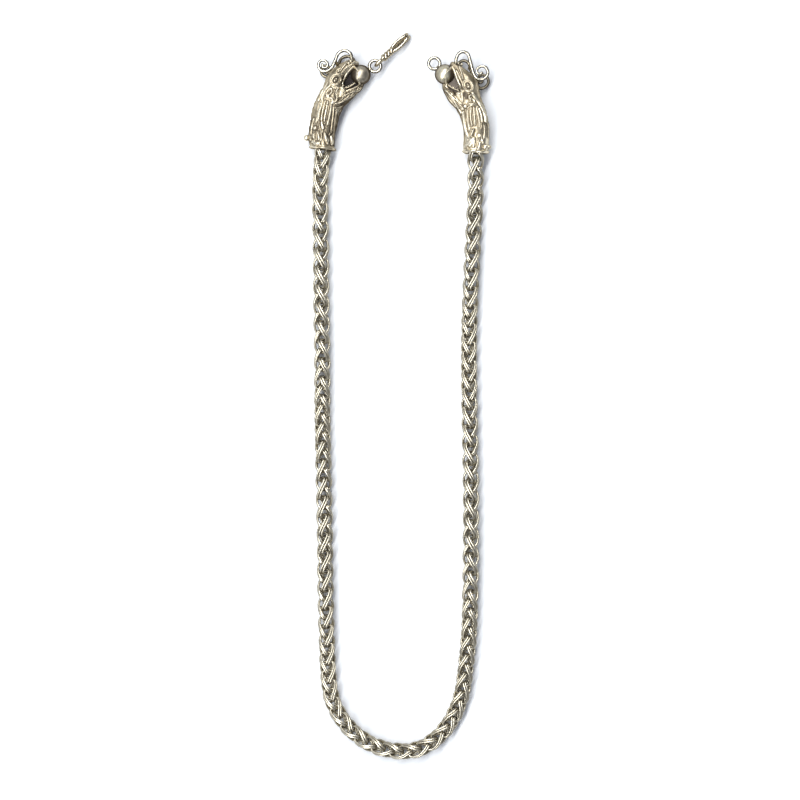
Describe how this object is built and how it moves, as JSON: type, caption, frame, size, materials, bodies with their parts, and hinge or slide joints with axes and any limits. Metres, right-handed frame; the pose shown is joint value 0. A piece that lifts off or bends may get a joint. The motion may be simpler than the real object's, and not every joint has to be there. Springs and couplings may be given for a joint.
{
  "type": "necklace with a wheat chain and dragon head ends",
  "caption": "Woven wheat chain laid out in a long U, its ends set in curved dragon heads that hold balls with a wire hook and a catch ring.",
  "frame": {"origin": "middle of the bounding box, on the surface that the necklace lies on", "axes": "+X to the right and +Y up as it is laid out, towards the heads; +Z up from the surface"},
  "size_m": [0.0628, 0.244, 0.0092],
  "materials": {
    "chain": "worn silver wire, bright on top and dark in the gaps",
    "heads": "cast silver with a warm tarnish, dark in the recesses",
    "wire": "drawn silver wire, softly polished"
  },
  "bodies": {
    "root": {"chain_left": "chain", "chain_right": "chain", "left_head": "heads", "right_head": "heads", "hook": "wire"}
  },
  "joints": []
}
